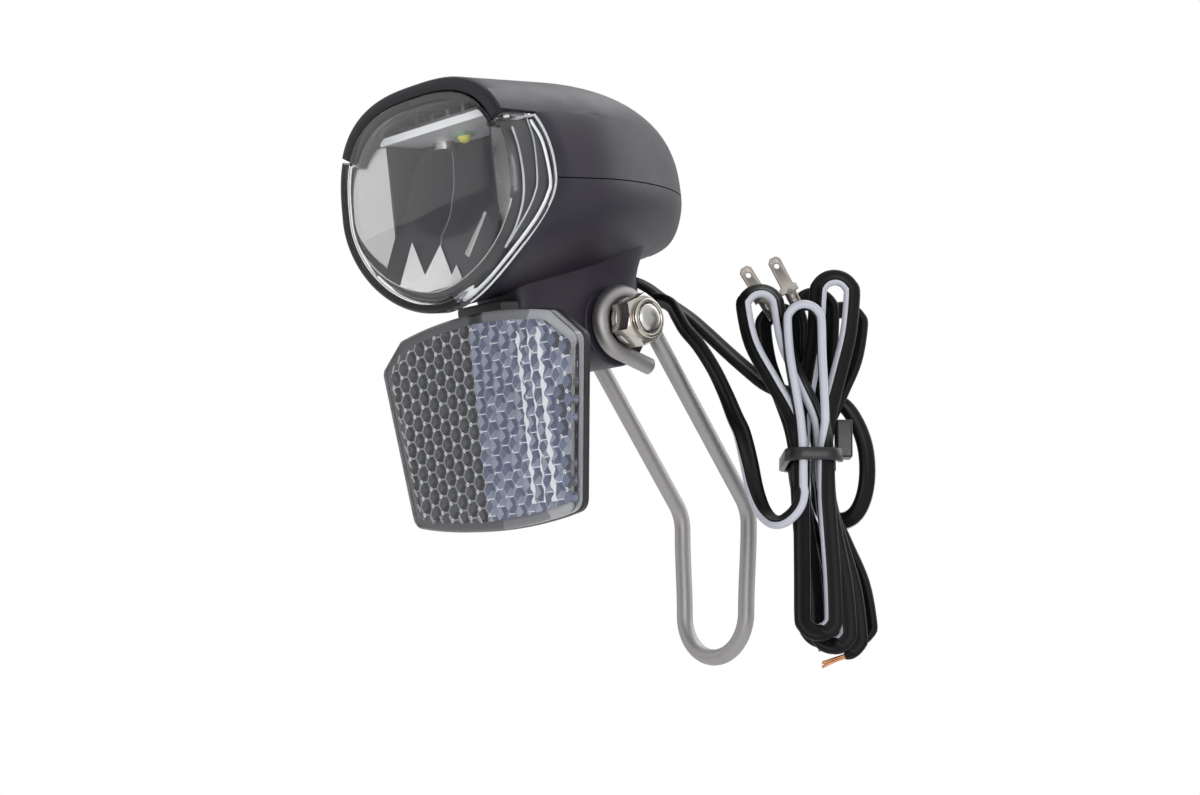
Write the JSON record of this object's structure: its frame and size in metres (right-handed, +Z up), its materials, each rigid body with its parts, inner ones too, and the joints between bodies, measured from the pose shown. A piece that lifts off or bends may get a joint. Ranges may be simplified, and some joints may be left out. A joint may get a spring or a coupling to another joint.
{
  "type": "bicycle headlight",
  "caption": "Bicycle dynamo headlight: black moulded head with wrap-round clear lens, hanging prism reflector, bent wire fork bracket on a pivot bolt, and bundled twin leads.",
  "frame": {"origin": "Centre of the arc at the bottom of the wire bracket's loop, where the fork crown bolt passes.", "axes": "+Z up, -Y forward (the way the lamp shines), +X towards the pivot nut."},
  "size_m": [0.0802, 0.0947, 0.1217],
  "materials": {
    "steel_wire": "satin stainless wire",
    "zinc_hardware": "bright zinc plate",
    "black_plastic": "fine matte moulded black",
    "clear_plastic": "clear moulded, polished",
    "metallised": "vacuum-metallised mirror",
    "circuit_board": "white solder mask",
    "driver_green": "green solder mask",
    "emitter": "yellow phosphor",
    "sink_metal": "extruded, plain",
    "screw_steel": "zinc plate",
    "capacitor_sleeve": "shrink sleeve",
    "grommet_rubber": "matte",
    "prism_plastic": "clear prismatic",
    "lead_black": "semi-gloss sheath",
    "lead_white": "semi-gloss sheath",
    "copper": "bare strands",
    "tin_plate": "tin plate",
    "tie_plastic": "black nylon"
  },
  "bodies": {
    "bracket": {"wire_bracket": "steel_wire", "pivot_bolt": "zinc_hardware", "pivot_nut": "zinc_hardware", "pivot_washers": "zinc_hardware"},
    "head": {"upper_shell": "black_plastic", "lower_shell": "black_plastic", "front_lens": "clear_plastic", "beam_mirror": "metallised", "emitter_board": "circuit_board", "light_emitter": "emitter", "heat_sink": "sink_metal", "board_screws": "screw_steel", "driver_board": "driver_green", "capacitor": "capacitor_sleeve", "rectifier_diodes": "capacitor_sleeve", "driver_screws": "screw_steel", "shell_screws": "screw_steel", "cable_grommet": "grommet_rubber", "reflector_plate": "black_plastic", "reflector_prism": "prism_plastic", "dynamo_lead": "lead_black", "dynamo_lead_hank": "lead_black", "copper_ends": "copper", "tail_light_lead": "lead_black", "tail_light_lead_hank": "lead_black", "tail_light_cores": "lead_white", "spade_terminals": "tin_plate", "cable_tie": "tie_plastic"}
  },
  "joints": [
    {"name": "head_tilt", "type": "hinge", "parent": "bracket", "child": "head", "pos_m": [0, -0.0385, 0.0593], "axis": [1, 0, 0], "range_deg": [-15, 30]}
  ]
}
